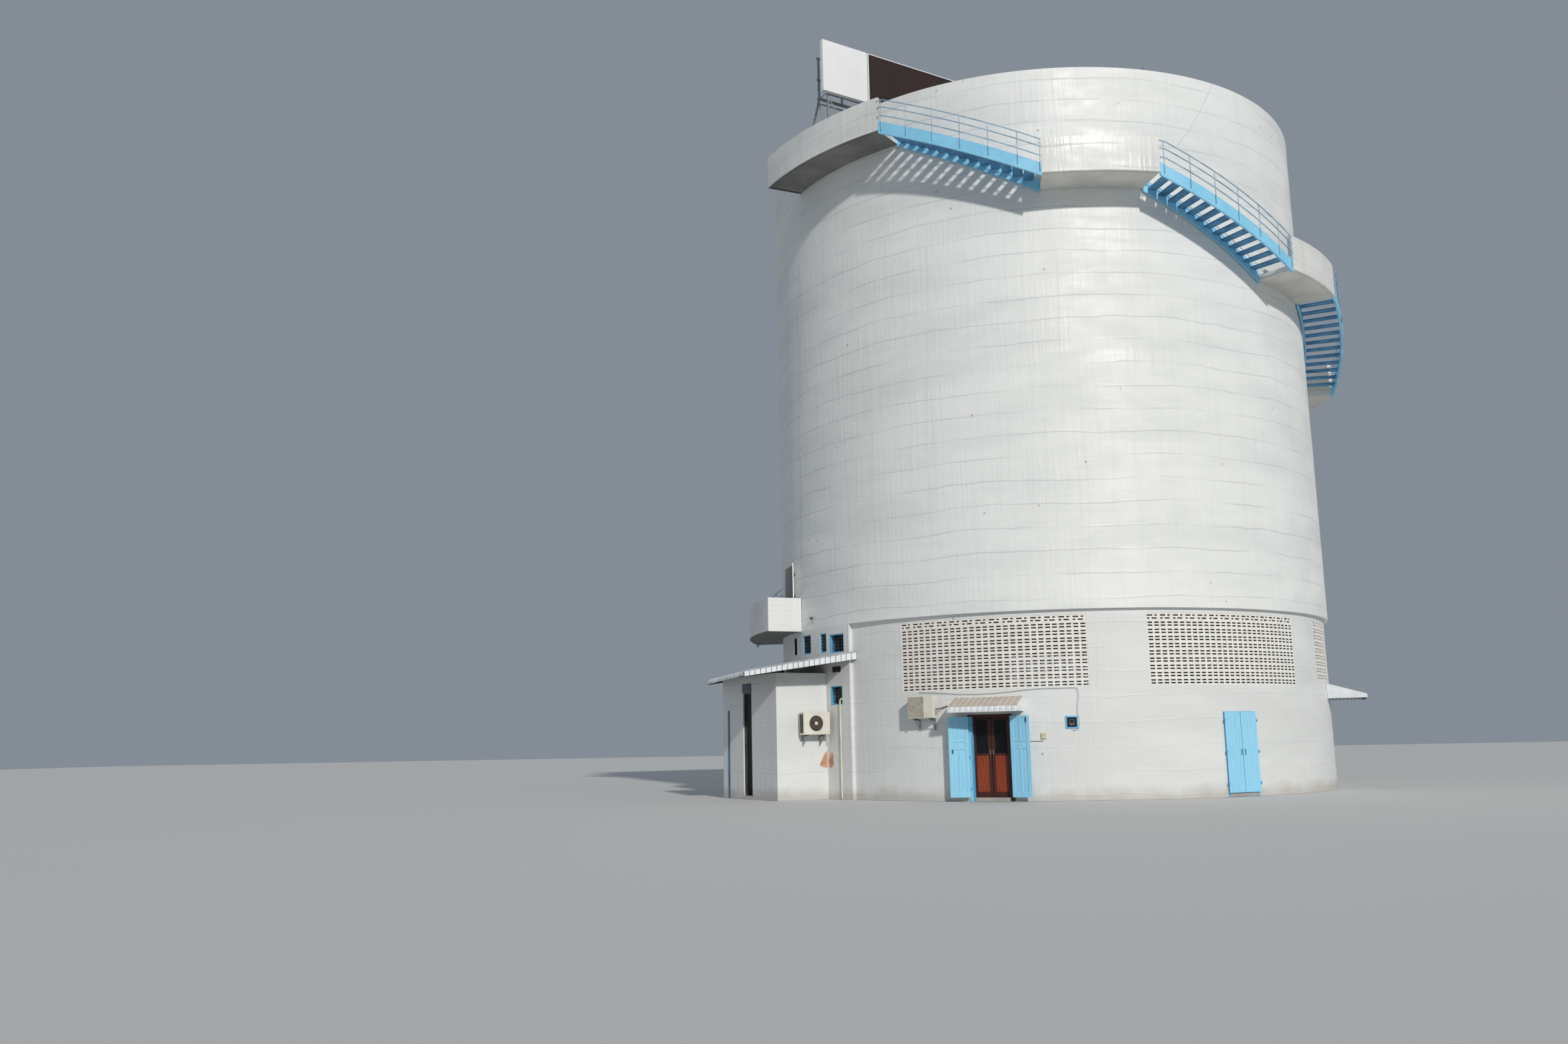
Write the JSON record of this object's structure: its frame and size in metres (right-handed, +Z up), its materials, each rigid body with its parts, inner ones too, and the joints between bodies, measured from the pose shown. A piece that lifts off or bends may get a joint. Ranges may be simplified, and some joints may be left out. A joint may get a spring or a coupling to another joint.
{
  "type": "water tower with an outside stair",
  "caption": "Round white concrete water tower with a blue stair that climbs round it, block screens in the base wall, double doors, awnings, a lean-to annex and a roof sign.",
  "frame": {"origin": "on the ground at the drum's axis", "axes": "+Z up; -Y towards the side with the entrance, +X to the right of a person who faces that side"},
  "size_m": [20.6179, 19.8911, 24.74],
  "materials": {
    "wall": "painted concrete, weathered",
    "slab": "bare grey concrete",
    "screen": "painted breeze blocks",
    "blue": "light blue paint, worn",
    "wood": "dark brown and red-brown paint",
    "roofing": "ribbed sheet, pale grey",
    "appliance": "cream enamel",
    "galvanised": "dull galvanised steel",
    "pale_board": "white sheet",
    "dark_board": "dark brown ribbed sheet"
  },
  "bodies": {
    "tower": {"ground_slab": "slab", "first_floor_slab": "slab", "roof_deck": "slab", "base_wall_left_of_entrance": "wall", "base_wall_between_doors": "wall", "base_wall_right_of_doors": "wall", "lintel_over_entrance": "wall", "lintel_over_service_door": "wall", "base_wall_front_upper": "wall", "base_wall_right_bay": "wall", "base_wall_rear_bays": "wall", "service_wall": "wall", "screen_front": "screen", "screen_front_right": "screen", "screen_right": "screen", "screen_rear_right": "screen", "screen_rear": "screen", "screen_rear_left": "screen", "drum_front": "wall", "drum_rear": "wall", "drum_door_left": "wall", "drum_door_right": "wall", "drum_over_door": "wall", "upper_door_leaf": "pale_board", "top_balcony": "wall", "landing_front": "wall", "landing_right": "wall", "landing_rear_right": "wall", "landing_rear": "wall", "landing_rear_left": "wall", "landing_left": "wall", "low_landing": "wall", "flight_7": "blue", "flight_6": "blue", "flight_5": "blue", "flight_4": "blue", "flight_3": "blue", "flight_2": "blue", "flight_1": "blue", "entrance_frame": "wood", "service_door_frame": "blue", "side_door": "blue", "entrance_awning": "roofing", "side_awning": "roofing", "annex_walls": "wall", "annex_roof": "roofing", "outdoor_unit_right": "appliance", "outdoor_unit_left": "appliance", "sign_front_frame": "galvanised", "sign_rear_frame": "galvanised", "sign_middle_ties": "galvanised", "sign_braces": "galvanised", "sign_pale_board": "pale_board", "sign_dark_board": "dark_board"},
    "entrance_outer_left": {"entrance_outer_leaf_left": "blue"},
    "entrance_outer_right": {"entrance_outer_leaf_right": "blue"},
    "entrance_inner_left": {"entrance_inner_leaf_left": "wood"},
    "entrance_inner_right": {"entrance_inner_leaf_right": "wood"},
    "service_left": {"service_door_leaf_left": "blue"},
    "service_right": {"service_door_leaf_right": "blue"}
  },
  "joints": [
    {"name": "entrance_outer_left_hinge", "type": "hinge", "parent": "tower", "child": "entrance_outer_left", "pos_m": [-2.15003, -8.43341, 1.18], "axis": [0, 0, 1], "range_deg": [0, 170]},
    {"name": "entrance_outer_right_hinge", "type": "hinge", "parent": "tower", "child": "entrance_outer_right", "pos_m": [-1.04521, -8.64017, 1.18], "axis": [0, 0, -1], "range_deg": [0, 170]},
    {"name": "entrance_inner_left_hinge", "type": "hinge", "parent": "tower", "child": "entrance_inner_left", "pos_m": [-2.00839, -8.19846, 1.18], "axis": [0, 0, 1], "range_deg": [0, 100]},
    {"name": "entrance_inner_right_hinge", "type": "hinge", "parent": "tower", "child": "entrance_inner_right", "pos_m": [-1.09229, -8.3699, 1.18], "axis": [0, 0, -1], "range_deg": [0, 100]},
    {"name": "service_left_hinge", "type": "hinge", "parent": "tower", "child": "service_left", "pos_m": [4.6181, -7.37687, 1.18], "axis": [0, 0, -1], "range_deg": [0, 170]},
    {"name": "service_right_hinge", "type": "hinge", "parent": "tower", "child": "service_right", "pos_m": [5.53031, -6.72017, 1.18], "axis": [0, 0, 1], "range_deg": [0, 170]}
  ]
}
